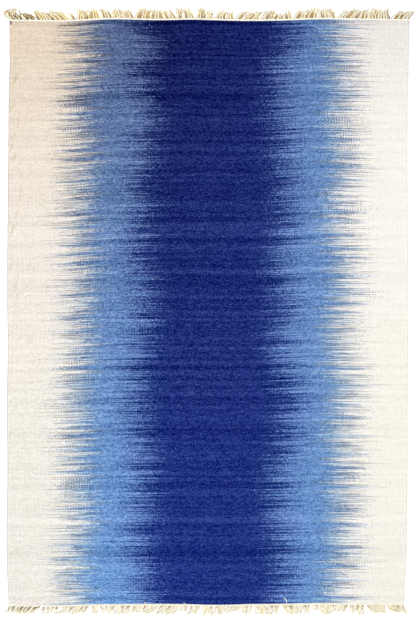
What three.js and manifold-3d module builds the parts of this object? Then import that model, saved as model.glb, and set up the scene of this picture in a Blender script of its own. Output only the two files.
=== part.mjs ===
// Dhurrie rug lying flat on the floor: one flat-woven web, and at each end a twined heading cord
// with the short warp fringe below it. Millimetres, +Z up. The warp runs along Y and the weft
// along X, and the floor is z = 0. The far end is at +Y and the near end at -Y.

import * as THREE from 'three';
import Module from 'manifold-3d';

const wasm = await Module();
wasm.setup();

// Driving dimensions of the web, a 4 ft wide rug
const RUG_WIDTH = 1220;
const RUG_LENGTH = 1783;
const CLOTH_THICKNESS = 4;
const CELLS_ACROSS = 20;
const CELLS_ALONG = 36;

// The twined heading cord that locks the weft at each end
const PIECE_GAP = 0.3;
const HEADING_WIDTH = 5.6;
const HEADING_HEIGHT = 4.6;
const HEADING_SHOULDER = 1.4;

// The fringe: cut warp ends in locks, which lean, bend and gather in tufts
const LOCKS_PER_END = 144;
const CORNER_INSET = 3.5;
const LOCK_WIDTH_AT_ROOT = 4.6;
const LOCK_WIDTH_AT_TIP = 3.4;
const LOCK_HEIGHT_AT_ROOT = 3.2;
const LOCK_HEIGHT_AT_TIP = 2;
const LOCK_TOP_SHARE = 0.55;
const ROOT_DEPTH = 2;
const ROOT_LIFT = 0.9;
const LOCK_STATIONS = [0.5, 1];
const FULL_REACH = 30;
const BEND_POWER = 1.2;
const GATHER_SHARE = 0.22;
const LENGTH_SPREAD = 0.08;
const TIP_ROOM = 5.8;
const SPREAD_PASSES = 60;
const GOLDEN_SHARE = 0.618034;

// How far each edge of the web lies outside its straight line, at places along the edge
const LEFT_SELVEDGE = [
  { at: -891, out: -2.5 },
  { at: -850, out: -0.5 },
  { at: -756, out: 3.5 },
  { at: -618, out: 3.5 },
  { at: -454, out: 0.6 },
  { at: -317, out: 3.5 },
  { at: -200, out: 1.5 },
  { at: -97, out: 0 },
  { at: 0, out: 1.5 },
  { at: 123, out: 2.2 },
  { at: 287, out: 0.5 },
  { at: 452, out: -1.1 },
  { at: 617, out: -2.4 },
  { at: 727, out: -5.5 },
  { at: 891, out: -4.4 },
];
const RIGHT_SELVEDGE = [
  { at: -891, out: -11.5 },
  { at: -810, out: -6.6 },
  { at: -700, out: -2.6 },
  { at: -600, out: -1.2 },
  { at: -454, out: 0 },
  { at: -268, out: 0.2 },
  { at: -100, out: 2.2 },
  { at: 68, out: 0.4 },
  { at: 178, out: 2.4 },
  { at: 300, out: 0.4 },
  { at: 452, out: -0.3 },
  { at: 617, out: -0.2 },
  { at: 780, out: 3.8 },
  { at: 891, out: 5.8 },
];
const FAR_END = [
  { at: -610, out: -2.4 },
  { at: -489, out: -3.8 },
  { at: -415, out: -3.4 },
  { at: -360, out: 0 },
  { at: -288, out: 3.1 },
  { at: -196, out: 0.5 },
  { at: -123, out: 0.5 },
  { at: -49, out: 2 },
  { at: 24, out: -0.3 },
  { at: 97, out: -2 },
  { at: 170, out: -2 },
  { at: 243, out: -0.3 },
  { at: 350, out: 3 },
  { at: 463, out: 0.5 },
  { at: 610, out: -1.5 },
];
const NEAR_END = [
  { at: -610, out: 2.8 },
  { at: -452, out: 2 },
  { at: -342, out: 0.3 },
  { at: -196, out: -0.9 },
  { at: -86, out: -0.3 },
  { at: 42, out: 2.3 },
  { at: 115, out: 0.3 },
  { at: 243, out: -1.4 },
  { at: 353, out: -3.5 },
  { at: 427, out: -3 },
  { at: 610, out: -2 },
];

// Soft puckers, where a pulled-in selvedge stands a little off the floor
const PUCKER_REACH = 150;
const PUCKERS = [
  { side: -1, at: 690, height: 2.2, length: 190 },
  { side: -1, at: 400, height: 1.4, length: 170 },
  { side: -1, at: -97, height: 1.6, length: 200 },
  { side: -1, at: -454, height: 1.8, length: 190 },
  { side: 1, at: 540, height: 1.5, length: 200 },
  { side: 1, at: 68, height: 1.7, length: 180 },
  { side: 1, at: -380, height: 1.3, length: 210 },
  { side: 1, at: -740, height: 2.2, length: 180 },
];

// The tufts along each end: where each starts, how its locks lean in degrees (towards +X when
// positive), and how far its tips reach beyond the heading
const FAR_TUFTS = [
  { from: -615, lean: -42, reach: 25 },
  { from: -568, lean: -45, reach: 17 },
  { from: -522, lean: -46, reach: 25 },
  { from: -428, lean: -36, reach: 22 },
  { from: -405, lean: -14, reach: 27.5 },
  { from: -333, lean: -24, reach: 25 },
  { from: -293, lean: 10, reach: 24 },
  { from: -263, lean: -44, reach: 23 },
  { from: -231, lean: 22, reach: 27 },
  { from: -181, lean: -16, reach: 26 },
  { from: -136, lean: -30, reach: 24 },
  { from: -104, lean: -4, reach: 27.5 },
  { from: -77, lean: -34, reach: 26 },
  { from: -45, lean: 16, reach: 27 },
  { from: -7, lean: -22, reach: 25 },
  { from: 15, lean: 26, reach: 23 },
  { from: 51, lean: -16, reach: 20 },
  { from: 73, lean: 41, reach: 21 },
  { from: 152, lean: 46, reach: 24 },
  { from: 196, lean: 8, reach: 14 },
  { from: 225, lean: -34, reach: 21 },
  { from: 257, lean: 36, reach: 22 },
  { from: 286, lean: 20, reach: 27.5 },
  { from: 335, lean: -26, reach: 27 },
  { from: 393, lean: 40, reach: 23 },
  { from: 460, lean: 6, reach: 27 },
  { from: 554, lean: 44, reach: 22 },
];
const NEAR_TUFTS = [
  { from: -615, lean: -42, reach: 20 },
  { from: -507, lean: -20, reach: 22 },
  { from: -447, lean: -36, reach: 20.5 },
  { from: -354, lean: -4, reach: 22 },
  { from: -328, lean: 18, reach: 19 },
  { from: -308, lean: -12, reach: 24 },
  { from: -226, lean: -34, reach: 20.5 },
  { from: -147, lean: -40, reach: 23 },
  { from: -77, lean: -34, reach: 16 },
  { from: -47, lean: -30, reach: 22 },
  { from: -20, lean: 26, reach: 23 },
  { from: 24, lean: -26, reach: 23 },
  { from: 60, lean: -42, reach: 15 },
  { from: 112, lean: -16, reach: 22 },
  { from: 143, lean: 10, reach: 23.5 },
  { from: 185, lean: -14, reach: 23 },
  { from: 225, lean: 36, reach: 23.5 },
  { from: 283, lean: -10, reach: 23 },
  { from: 324, lean: 28, reach: 14 },
  { from: 350, lean: 0, reach: 24.5 },
  { from: 398, lean: -34, reach: 17 },
  { from: 442, lean: -4, reach: 23.5 },
  { from: 494, lean: 28, reach: 20.5 },
  { from: 551, lean: 42, reach: 19 },
];

const WEFT_BLUE = new THREE.MeshStandardMaterial({ color: '#2a3f87', roughness: 0.92, metalness: 0 });
const WARP_CREAM = new THREE.MeshStandardMaterial({ color: '#efe4c4', roughness: 0.88, metalness: 0 });

// A smooth function through the rows of an edge table
function edgeCurve(table) {
  const places = table.map((row) => row.at);
  const offsets = table.map((row) => row.out);
  const curve = new THREE.CubicInterpolant(places, offsets, 1);
  return (at) => curve.evaluate(at)[0];
}

const leftOut = edgeCurve(LEFT_SELVEDGE);
const rightOut = edgeCurve(RIGHT_SELVEDGE);
const farOut = edgeCurve(FAR_END);
const nearOut = edgeCurve(NEAR_END);

// The web's plan: a straight place across and along the rug, moved onto the uneven outline
function planX(across, along) {
  const left = -RUG_WIDTH / 2 - leftOut(along);
  const right = RUG_WIDTH / 2 + rightOut(along);
  return THREE.MathUtils.lerp(left, right, across / RUG_WIDTH + 0.5);
}

function planY(across, along) {
  const near = -RUG_LENGTH / 2 - nearOut(across);
  const far = RUG_LENGTH / 2 + farOut(across);
  return THREE.MathUtils.lerp(near, far, along / RUG_LENGTH + 0.5);
}

// How far the puckers lift the cloth off the floor
function puckerLift(across, along) {
  let lift = 0;
  for (const pucker of PUCKERS) {
    const inward = RUG_WIDTH / 2 - pucker.side * across;
    const place = 2 * (along - pucker.at) / pucker.length;
    if (inward < PUCKER_REACH && Math.abs(place) < 1) {
      const fade = 1 - inward / PUCKER_REACH;
      lift += pucker.height * fade * fade * Math.cos(place * Math.PI / 2) ** 2;
    }
  }
  return lift;
}

// The woven web with its corded selvedges, one flat sheet on the uneven outline
function rugBody() {
  const web = new THREE.BoxGeometry(RUG_WIDTH, RUG_LENGTH, CLOTH_THICKNESS, CELLS_ACROSS, CELLS_ALONG, 1);
  const point = web.getAttribute('position');
  for (let i = 0; i < point.count; i += 1) {
    const across = point.getX(i);
    const along = point.getY(i);
    const height = point.getZ(i) + CLOTH_THICKNESS / 2;
    point.setXYZ(i, planX(across, along), planY(across, along), height + puckerLift(across, along));
  }
  web.computeVertexNormals();
  return web;
}

// A closed solid through rings of equal numbers of points, each ring turning right-handed
// about the way from the first ring to the last
function loft(rings) {
  const count = rings[0].length;
  const faces = [];
  for (let k = 0; k + 1 < rings.length; k += 1) {
    for (let j = 0; j < count; j += 1) {
      const a = k * count + j;
      const b = k * count + (j + 1) % count;
      faces.push(a, b, b + count, a, b + count, a + count);
    }
  }
  const last = (rings.length - 1) * count;
  for (let j = 1; j + 1 < count; j += 1) {
    faces.push(0, j + 1, j, last, last + j, last + j + 1);
  }
  const geometry = new THREE.BufferGeometry();
  geometry.setFromPoints(rings.flat());
  geometry.setIndex(faces);
  return geometry;
}

function toManifold(geometry) {
  return new wasm.Manifold(new wasm.Mesh({
    numProp: 3,
    vertProperties: geometry.getAttribute('position').array,
    triVerts: new Uint32Array(geometry.index.array),
  }));
}

function toGeometry(solid) {
  const mesh = solid.getMesh();
  const geometry = new THREE.BufferGeometry();
  geometry.setAttribute('position', new THREE.BufferAttribute(mesh.vertProperties, mesh.numProp));
  geometry.setIndex(new THREE.BufferAttribute(mesh.triVerts, 1));
  geometry.computeVertexNormals();
  return geometry;
}

// The heading cord, a low six-sided strip that follows the web's end at a small gap
function headingCord(end) {
  const half = HEADING_WIDTH / 2;
  const shoulder = HEADING_HEIGHT - HEADING_SHOULDER;
  const section = [
    { side: -half, up: 0 },
    { side: half, up: 0 },
    { side: half, up: shoulder },
    { side: half - HEADING_SHOULDER, up: HEADING_HEIGHT },
    { side: HEADING_SHOULDER - half, up: HEADING_HEIGHT },
    { side: -half, up: shoulder },
  ];
  const rings = [];
  for (let i = 0; i <= CELLS_ACROSS; i += 1) {
    const across = (i / CELLS_ACROSS - 0.5) * RUG_WIDTH;
    const edge = planY(across, end * RUG_LENGTH / 2);
    const middle = edge + end * (PIECE_GAP + half);
    const x = planX(across, end * RUG_LENGTH / 2);
    rings.push(section.map((corner) => new THREE.Vector3(x, middle + corner.side, corner.up)));
  }
  return loft(rings);
}

// An even scatter from -1 to 1, the same for the same lock
function scatter(index, turn) {
  const share = (index + turn) * GOLDEN_SHARE * turn;
  return 2 * (share - Math.floor(share)) - 1;
}

// Each lock's root on the heading, its own reach, and where it would be after the full reach.
// All locks swing over the same full reach, so neighbours that have room there never cross.
function fringeLayout(tufts) {
  const first = -RUG_WIDTH / 2 + CORNER_INSET;
  const pitch = (RUG_WIDTH - 2 * CORNER_INSET) / (LOCKS_PER_END - 1);
  const locks = [];
  for (let i = 0; i < LOCKS_PER_END; i += 1) {
    const root = first + i * pitch;
    const tuft = tufts.findLast((row) => row.from <= root);
    const next = tufts[tufts.indexOf(tuft) + 1];
    const middle = (tuft.from + (next ? next.from : RUG_WIDTH / 2)) / 2;
    const reach = tuft.reach * (1 + LENGTH_SPREAD * scatter(i, 3));
    const drift = FULL_REACH * Math.tan(THREE.MathUtils.degToRad(tuft.lean));
    locks.push({ root, reach, aim: THREE.MathUtils.lerp(root, middle, GATHER_SHARE) + drift });
  }
  for (let pass = 0; pass < SPREAD_PASSES; pass += 1) {
    for (let i = 1; i < LOCKS_PER_END; i += 1) {
      const missing = TIP_ROOM - (locks[i].aim - locks[i - 1].aim);
      if (missing > 0) {
        locks[i - 1].aim -= missing / 2;
        locks[i].aim += missing / 2;
      }
    }
  }
  return locks;
}

// One ring of a lock: four corners square to its way, wider at the floor than on top
function lockRing(x, y, way, width, low, high) {
  const side = new THREE.Vector3(way.y, -way.x, 0).normalize().multiplyScalar(width / 2);
  const base = new THREE.Vector3(x, y, low);
  const crown = new THREE.Vector3(x, y, high);
  return [
    base.clone().sub(side),
    crown.clone().addScaledVector(side, -LOCK_TOP_SHARE),
    crown.clone().addScaledVector(side, LOCK_TOP_SHARE),
    base.clone().add(side),
  ];
}

// One lock: it leaves the heading a little above the floor and lies level on it from there
function fringeLock(end, lock) {
  const edge = planY(lock.root, end * RUG_LENGTH / 2);
  const start = edge + end * (PIECE_GAP + HEADING_WIDTH);
  const x = planX(lock.root, end * RUG_LENGTH / 2);
  const swing = lock.aim - lock.root;
  const straight = new THREE.Vector2(0, end);
  const rings = [lockRing(
    x, start - end * ROOT_DEPTH, straight, LOCK_WIDTH_AT_ROOT, ROOT_LIFT, LOCK_HEIGHT_AT_ROOT,
  )];
  for (const station of LOCK_STATIONS) {
    const share = station * lock.reach / FULL_REACH;
    const slope = BEND_POWER * swing * share ** (BEND_POWER - 1) / FULL_REACH;
    rings.push(lockRing(
      x + swing * share ** BEND_POWER,
      start + end * lock.reach * station,
      new THREE.Vector2(slope, end),
      THREE.MathUtils.lerp(LOCK_WIDTH_AT_ROOT, LOCK_WIDTH_AT_TIP, station),
      0,
      THREE.MathUtils.lerp(LOCK_HEIGHT_AT_ROOT, LOCK_HEIGHT_AT_TIP, station),
    ));
  }
  return loft(rings);
}

// The whole fringe of one end, its locks fused to the heading cord at their roots
function fringe(end, tufts) {
  let whole = toManifold(headingCord(end));
  for (const lock of fringeLayout(tufts)) {
    whole = whole.add(toManifold(fringeLock(end, lock)));
  }
  return toGeometry(whole);
}

function piece(name, geometry, material) {
  const mesh = new THREE.Mesh(geometry, material);
  mesh.name = name;
  return mesh;
}

const rug = new THREE.Group();
rug.add(piece('rug_body', rugBody(), WEFT_BLUE));
rug.add(piece('fringe_far', fringe(1, FAR_TUFTS), WARP_CREAM));
rug.add(piece('fringe_near', fringe(-1, NEAR_TUFTS), WARP_CREAM));

// The origin is on the floor under the middle of the whole rug
const whole = new THREE.Box3().setFromObject(rug);
rug.position.set(-(whole.min.x + whole.max.x) / 2, -(whole.min.y + whole.max.y) / 2, 0);

export default rug;
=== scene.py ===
"""Dhurrie rug: a flat-woven ikat stripe with a twined heading and a short warp fringe at each end.

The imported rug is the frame. It gives the web's outline and puckers, and every piece below is made on
it in metres, +Z up, with the warp along Y, the weft along X and the floor at z = 0.
"""

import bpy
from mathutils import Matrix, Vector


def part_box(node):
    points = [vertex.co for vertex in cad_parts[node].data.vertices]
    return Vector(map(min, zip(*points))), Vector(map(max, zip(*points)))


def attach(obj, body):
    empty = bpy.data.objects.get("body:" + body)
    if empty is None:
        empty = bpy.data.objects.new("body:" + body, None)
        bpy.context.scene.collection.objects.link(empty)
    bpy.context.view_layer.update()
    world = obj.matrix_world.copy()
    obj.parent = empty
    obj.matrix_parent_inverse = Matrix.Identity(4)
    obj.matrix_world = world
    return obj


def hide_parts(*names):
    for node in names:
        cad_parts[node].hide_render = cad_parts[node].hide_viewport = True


bl_info = {
    "name": "Dhurrie Rug",
    "version": (1, 0, 0),
    "blender": (4, 5, 0),
    "location": "3D View > Sidebar > Rug",
    "description": "Weaves a flat ikat dhurrie with twined headings and a warp fringe on its packed frame",
    "category": "Add Mesh",
}

import math
from functools import partial

import bpy
import numpy as np
from bpy.props import FloatProperty, FloatVectorProperty, IntProperty, PointerProperty
from mathutils import Vector
from mathutils.bvhtree import BVHTree

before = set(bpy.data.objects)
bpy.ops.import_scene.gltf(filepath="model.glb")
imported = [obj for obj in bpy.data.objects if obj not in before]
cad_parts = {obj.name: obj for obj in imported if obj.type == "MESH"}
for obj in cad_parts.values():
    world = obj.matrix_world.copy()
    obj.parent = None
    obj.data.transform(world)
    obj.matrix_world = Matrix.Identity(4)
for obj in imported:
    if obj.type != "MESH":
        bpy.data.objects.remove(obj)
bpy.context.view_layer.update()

MM = 0.001

# The straight web before its edges wander, and the stations at which the frame is read
WEB_WIDTH = 1220 * MM
WEB_LENGTH = 1783 * MM
CLOTH_THICKNESS = 4 * MM
STATIONS_ACROSS = 21
STATIONS_ALONG = 37
PROBE_HEIGHT = 3 * MM
PROBE_INSET = 0.3 * MM
CORNER_ROOM = 8 * MM
FINE_COLUMNS = 15

# The twined heading and the locks of the fringe, as in the frame
PIECE_GAP = 0.3 * MM
HEADING_WIDTH = 5.6 * MM
LOCKS_PER_END = 144
HEADING_GRIP = 0.8 * MM
CORNER_INSET = 3.5 * MM
FULL_REACH = 30 * MM
BEND_POWER = 1.2
GATHER_SHARE = 0.22
LENGTH_SPREAD = 0.08
TIP_ROOM = 5.8 * MM
SPREAD_PASSES = 60
GOLDEN_SHARE = 0.618034

# How the picks climb across the rug: their rise at the right selvedge, at even stations from the
# near end to the far end, and the share of it reached at even stations from left to right
WEFT_RISE = [0, 2, 11, 12, 16, 20, 21, 16, 0]
RISE_SHARE = [0, 0.22, 0.38, 0.58, 0.66, 0.74, 0.94, 1, 1]

# Small ripples beside a pulled-in selvedge: side, place along, height, length and reach inward
RIPPLES = [
    (-1, 794, 1.2, 46, 44), (-1, 714, 1.5, 50, 52), (-1, 617, 1.1, 48, 46),
    (-1, 571, 0.9, 40, 50), (-1, 510, 1.3, 54, 60), (-1, 449, 0.9, 46, 42),
    (-1, 251, 1.3, 50, 38), (-1, 165, 0.9, 52, 44), (-1, 22, 0.8, 60, 40),
    (-1, -210, 0.8, 70, 40), (-1, -640, 0.9, 60, 36), (1, 723, 1.0, 50, 34),
    (1, 556, 0.8, 54, 36), (1, 266, 1.1, 48, 36), (1, -90, 0.7, 60, 40),
    (1, -268, 0.9, 56, 34), (1, -560, 0.8, 64, 36),
]

# Creases beside the left selvedge, where picks were beaten in too hard: from (x, y) to (x, y), half
# width and height
CREASES = [
    ((-592, 763), (-578, 777), 4.5, 1.2),
    ((-597, 688), (-582, 722), 4.5, 2.4),
    ((-607, 610), (-591, 628), 4.5, 1.4),
    ((-584, 556), (-578, 588), 4.5, 1.3),
    ((-604, 524), (-587, 541), 4.5, 1.3),
    ((-605, 493), (-595, 514), 4.5, 1.9),
    ((-598, 454), (-587, 481), 4.5, 1.8),
    ((-573, 392), (-569, 426), 4.5, 1.0),
    ((-577, 334), (-570, 386), 5.5, 0.9),
    ((-591, 280), (-577, 310), 6.0, 0.9),
    ((-603, 228), (-596, 258), 4.5, 2.4),
    ((-603, 127), (-597, 160), 4.5, 1.5),
    ((-591, 63), (-579, 109), 5.0, 1.1),
    ((-592, 11), (-580, 51), 5.5, 0.9),
]

# Soft swells left in the cloth, in the same terms
SWELLS = [
    ((-575, 470), (-500, 590), 26, 0.8),
    ((-560, 340), (-430, 420), 34, 0.6),
    ((-300, -250), (-120, -290), 48, 0.6),
    ((140, 330), (330, 290), 52, 0.6),
    ((60, -610), (280, -560), 46, 0.7),
    ((-420, -700), (-240, -660), 40, 0.6),
    ((430, -420), (470, -150), 42, 0.7),
    ((-180, 690), (40, 720), 50, 0.5),
]

# The tufts along each end: where each starts, the lean of its locks in degrees and their reach
FAR_TUFTS = [
    (-615, -42, 25), (-568, -45, 17), (-522, -46, 25), (-428, -36, 22), (-405, -14, 27.5),
    (-333, -24, 25), (-293, 10, 24), (-263, -44, 23), (-231, 22, 27), (-181, -16, 26),
    (-136, -30, 24), (-104, -4, 27.5), (-77, -34, 26), (-45, 16, 27), (-7, -22, 25),
    (15, 26, 23), (51, -16, 20), (73, 41, 21), (152, 46, 24), (196, 8, 14),
    (225, -34, 21), (257, 36, 22), (286, 20, 27.5), (335, -26, 27), (393, 40, 23),
    (460, 6, 27), (554, 44, 22),
]
NEAR_TUFTS = [
    (-615, -42, 20), (-507, -20, 22), (-447, -36, 20.5), (-354, -4, 22), (-328, 18, 19),
    (-308, -12, 24), (-226, -34, 20.5), (-147, -40, 23), (-77, -34, 16), (-47, -30, 22),
    (-20, 26, 23), (24, -26, 23), (60, -42, 15), (112, -16, 22), (143, 10, 23.5),
    (185, -14, 23), (225, 36, 23.5), (283, -10, 23), (324, 28, 14), (350, 0, 24.5),
    (398, -34, 17), (442, -4, 23.5), (494, 28, 20.5), (551, 42, 19),
]

# The shadow painted on the far left corner: place across and along, and half its width and length
CORNER_PAINTED_SHADOW = (-606, 887, 3.5, 9)

# Loose threads that lie over the web from the near heading: from (x, y) to (x, y)
LOOSE_THREADS = [
    ((-192, -894), (-199, -887)),
    ((-73, -894), (-79, -889)),
    ((236, -893), (228, -874)),
]

# Yarns tangled over the fringe at the left corners: from (x, y) by way of (x, y) to (x, y), half width,
# and how much ochre shade and how much umber shade is painted on them
FAR_TANGLE = [
    ((-606, 893), (-640, 902), (-602, 921), 1.7, 0.2, 0.0),
    ((-608, 893), (-636, 901), (-614, 919), 1.7, 0.9, 0.0),
    ((-604, 894), (-630, 905), (-595, 923), 1.6, 0.0, 0.0),
    ((-600, 893), (-620, 908), (-606, 919), 1.5, 0.9, 0.9),
    ((-597, 893), (-622, 906), (-590, 922), 1.7, 0.6, 0.0),
    ((-592, 894), (-612, 905), (-584, 920), 1.6, 0.1, 0.0),
    ((-584, 893), (-596, 902), (-592, 906), 1.5, 0.9, 1.0),
    ((-590, 892), (-601, 903), (-598, 908), 1.4, 0.9, 0.8),
    ((-578, 894), (-574, 908), (-581, 919), 1.4, 0.9, 0.7),
    ((-546, 893), (-556, 905), (-566, 909), 1.4, 0.9, 0.9),
    ((-531, 893), (-541, 902), (-550, 903), 1.4, 0.9, 0.6),
]
NEAR_TANGLE = [
    ((-607, -899), (-611, -907), (-615, -915), 1.2, 0.8, 0.6),
    ((-594, -899), (-598, -908), (-602, -918), 1.2, 0.8, 0.8),
    ((-580, -900), (-584, -907), (-589, -914), 1.1, 0.8, 0.8),
    ((-567, -899), (-573, -907), (-579, -915), 1.1, 0.8, 1.0),
    ((-555, -900), (-562, -907), (-569, -916), 1.1, 0.8, 0.9),
    ((-541, -899), (-549, -907), (-557, -916), 1.1, 0.8, 0.8),
    ((-515, -900), (-526, -903), (-537, -909), 1.2, 0.8, 1.0),
    ((-504, -905), (-510, -909), (-515, -913), 1.0, 0.8, 0.7),
    ((-412, -900), (-419, -906), (-427, -913), 1.0, 0.5, 0.7),
]

# How the cotton looks: at the far end, then at the near end
LOOKS = {
    # How much longer the locks are than the frame's and how much yellower, from left to right
    "reach": ((1.0, 1.0), (1.08, 1.25)),
    "yellower": ((0.2, -0.2), (0.0, 0.25)),
    # The least and the most that they have yellowed
    "yellowed": ((0.25, 0.9), (0.0, 0.5)),
    # The share of them that is painted with ochre shade, along the end and at the corners, and the width of
    # those
    "dark_locks": (0.36, 0.34),
    "corner_locks": (0.42, 0.4),
    "dark_width": (0.7, 0.5),
    # How dark the umber shade painted on those gets at the left and right corner, and how far along they
    # stay so
    "dark_depth": ((1.0, 0.6), (0.3, 0.2)),
    "dark_reach": (1.0, 0.5),
    # How much ochre shade is painted in the folds, and how slack the twist is
    "fold_shade": (0.1, 0.02),
    "slack": (0.2, 0.3),
    # How far the lower yarns between the locks reach, and how much ochre shade is painted on them
    "lower_reach": ((0.5, 0.95), (0.25, 0.7)),
    "lower_shade": ((0.6, 1), (0, 0.25)),
    # How dark the umber shade painted at their roots is at the left and right corner, where 1 is as dark as
    # along the end, and how fast that fades towards their tips
    "corner_depth": ((1.0, 0.6), (0.25, 0.3)),
    "fading": (1.0, 1.4),
}

# The seeds of the two fringes, and of the fine fibres that have come loose along the locks
FAR_SEED = 11
NEAR_SEED = 23
FLOSS_SEED = 4

# Where the corners of an end begin and where they are at their full, from the middle
CORNERS = (470 * MM, 530 * MM)

# The heading's strands: their radius, the height of their middle, and how far they swing aside and up
STRAND_RADIUS = 1.3 * MM
STRAND_HEIGHT = 2.5 * MM
STRAND_SWING = (1.1 * MM, 0.9 * MM)

# Loose fibres: where along a lock they leave it, and their lengths in millimetres
TIP_HAIRS = ((0.65, 0.97), (2.5, 6))
FINE_HAIRS = ((0.1, 0.8), (4, 10))

# A lock's crinkle: the most that it bends aside, its waves over the lock, and how much they vary
CRINKLE = 2.4 * MM
CRINKLE_WAVES = 2.5
WAVES_SPREAD = 0.7

# A lock's line: its height at the root and where it lies, where its tip begins to open, the width
# over which a hook would take the whole tip back, and how far the plies lie from it
ROOT_HEIGHT = 2.6 * MM
LOCK_HEIGHT = 2.0 * MM
TIP_START = 0.62
HOOK_WIDTH = 40 * MM
PLY_SPREAD = 1.35 * MM

# How far right of the rug's middle the blue stripes and the deep blue one are centred, and how much
# the stripes widen towards the near end
BLUES_MIDDLE = 7.5 * MM
DEEP_BLUE_MIDDLE = 12 * MM
NEAR_WIDENING = 7 * MM

# The scale on which equal steps look equal, and a mix that goes on past its two colours
EYE_GAMMA = 2.2
PAST_ENDS = {"data_type": "RGBA", "clamp_factor": False}

# Half the floor's width, how far it lies below the rug, and where the picture is centred
FLOOR_REACH = 40
FLOOR_DROP = 0.2 * MM
VIEW_CENTRE = (-4.5 * MM, -2.3 * MM)


def linear(hex_colour):
    """An sRGB hex colour as linear red, green and blue."""
    shares = [int(hex_colour[i : i + 2], 16) / 255 for i in (1, 3, 5)]
    return [s / 12.92 if s <= 0.04045 else ((s + 0.055) / 1.055) ** 2.4 for s in shares]


def a_colour(name, hex_colour, description):
    return FloatVectorProperty(
        name=name, description=description, default=linear(hex_colour), subtype="COLOR", min=0, max=1
    )


def a_length(name, millimetres, description):
    return FloatProperty(
        name=name, description=description, default=millimetres * MM, min=0, unit="LENGTH", precision=5
    )


class RugWebSettings(bpy.types.PropertyGroup):
    """The web: its yarns' spacing, its edges and its dyes."""

    warp_pitch: a_length("Warp pitch", 4.06, "Distance between warp cords, seen as ribs")
    pick_pitch: a_length("Pick pitch", 0.8, "Distance between weft picks")
    relief: a_length("Weave relief", 0.4, "Height of the weft floats over the valleys between")
    cord_radius: a_length("Selvedge cord radius", 2.4, "Radius of the corded selvedges")
    cell: a_length("Cell", 12, "Width of the mesh's cells away from the selvedges")
    ivory: a_colour("Ivory", "#f3efe8", "Undyed wool at the selvedges")
    mid_blue: a_colour("Mid blue", "#678ec4", "The single-dipped blue stripes")
    deep_blue: a_colour("Deep blue", "#1a2d77", "The twice-dipped blue centre")
    # The far colours are painted shade: they stand for the light falling off towards the far left
    far_ivory: a_colour("Far ivory", "#ead9c3", "Undyed wool at the far left, from browner fleece")
    far_mid_blue: a_colour("Far mid blue", "#536186", "Mid blue at the far left, over browner fleece")
    far_deep_blue: a_colour("Far deep blue", "#070b41", "Deep blue at the far left")
    end_cotton: a_colour("End cotton", "#fffdf4", "Cotton of the last picks at each end")
    end_picks: a_length("End picks", 1.2, "Length of web at each end that is woven in cotton")
    outer_join: a_length("Outer join", 412.5, "From the middle to where ivory meets mid blue")
    inner_join: a_length("Inner join", 223, "From the middle to where mid blue meets deep blue")
    outer_stray: a_length("Outer stray", 56, "The most that a pick strays at the outer joins")
    inner_stray: a_length("Inner stray", 40, "The most that a pick strays at the inner joins")
    haze: a_length("Haze", 106, "How far the tint spreads over the picks, each way from a join")
    turn: a_length("Turn", 58, "How far apart the dye starts on the two sides of a yarn")
    wick: a_length("Wick", 39, "How far the dye wicks along one yarn, each way from a join")


class RugFringeSettings(bpy.types.PropertyGroup):
    """The twined headings and the fringe."""

    cream: a_colour("Cream", "#fffdf4", "Outer fibres of the cotton warp yarn")
    straw: a_colour("Straw", "#fff0bc", "Outer fibres where the cotton has yellowed")
    # Ochre and umber are painted shade, for the folds between plies, some locks and the lower yarns, where
    # shade falls between the locks
    ochre_shade: a_colour("Ochre", "#bd9140", "Cotton warp yarn in folds and in the lower layers")
    umber_shade: a_colour("Umber", "#40390f", "Cotton warp yarn deep down between the locks")
    plies: IntProperty(name="Plies", description="Yarns twisted into one lock", default=3, min=2, max=6)
    ply_radius: a_length("Ply radius", 1.2, "Radius of one yarn of a lock")
    twist_pitch: a_length("Twist pitch", 11, "Length of one turn of a lock")
    hairs: IntProperty(name="Hairs", description="Loose fibres at each lock's tip", default=4, min=0, max=12)
    floss: IntProperty(name="Floss", description="Fine fibres along each lock", default=4, min=0, max=12)


class RugStageSettings(bpy.types.PropertyGroup):
    """The floor, the light and the camera."""

    floor_colour: a_colour("Floor", "#fdfdfc", "Matt pale floor")
    sky: FloatProperty(name="Sky", description="Strength of the even studio light", default=0.56, min=0)
    lamp: FloatProperty(name="Lamp", description="Strength of the soft lamp", default=2.6, min=0)
    lens: FloatProperty(name="Lens", description="Focal length in millimetres", default=85, min=20)
    view_length: a_length("View length", 1903.2, "Length of floor that the picture's height shows")


def through(values, places):
    """A smooth line through evenly spaced values, read at places counted in their spacing."""
    values = np.asarray(values, float)
    places = np.asarray(places, float)
    before = 2 * values[:1] - values[1:2]
    after = 2 * values[-1:] - values[-2:-1]
    padded = np.concatenate([before, values, after])
    start = np.clip(np.floor(places).astype(int), 0, len(values) - 2)
    share = (places - start).reshape(places.shape + (1,) * (values.ndim - 1))
    a, b, c, d = (padded[start + step] for step in range(4))
    bend = 2 * a - 5 * b + 4 * c - d
    turn = 3 * b - a - 3 * c + d
    return b + 0.5 * share * ((c - a) + share * (bend + share * turn))


def between(low, high, share):
    return low + (high - low) * share


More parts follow.
